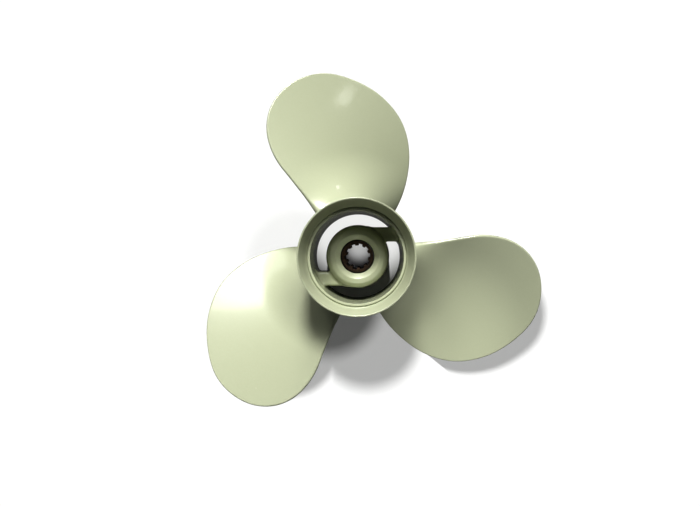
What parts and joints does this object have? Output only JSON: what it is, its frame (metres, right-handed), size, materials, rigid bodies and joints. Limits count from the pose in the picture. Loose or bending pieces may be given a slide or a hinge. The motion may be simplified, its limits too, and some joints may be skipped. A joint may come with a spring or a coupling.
{
  "type": "outboard motor propeller",
  "caption": "Right-hand outboard motor propeller with wide round blades, a through-hub exhaust, a flared rear ring and a splined, rubber-cushioned bronze sleeve.",
  "frame": {"origin": "on the shaft axis, in the plane of the front end of the inner hub, which the part stands on", "axes": "+Z along the shaft axis towards the rear (flared) end; +X to the right and +Y up as seen from the rear, with the first blade about 8 degrees past +Y"},
  "size_m": [0.2109, 0.2081, 0.085],
  "materials": {
    "enamel": "semi-gloss pale grey-green enamel",
    "ring_enamel": "semi-gloss pale grey-green enamel",
    "rubber": "matt black",
    "bronze": "dull brown, broached splines"
  },
  "bodies": {
    "root": {"propeller_casting": "enamel", "diffuser_ring": "ring_enamel", "rubber_bush": "rubber", "splined_sleeve": "bronze"}
  },
  "joints": []
}
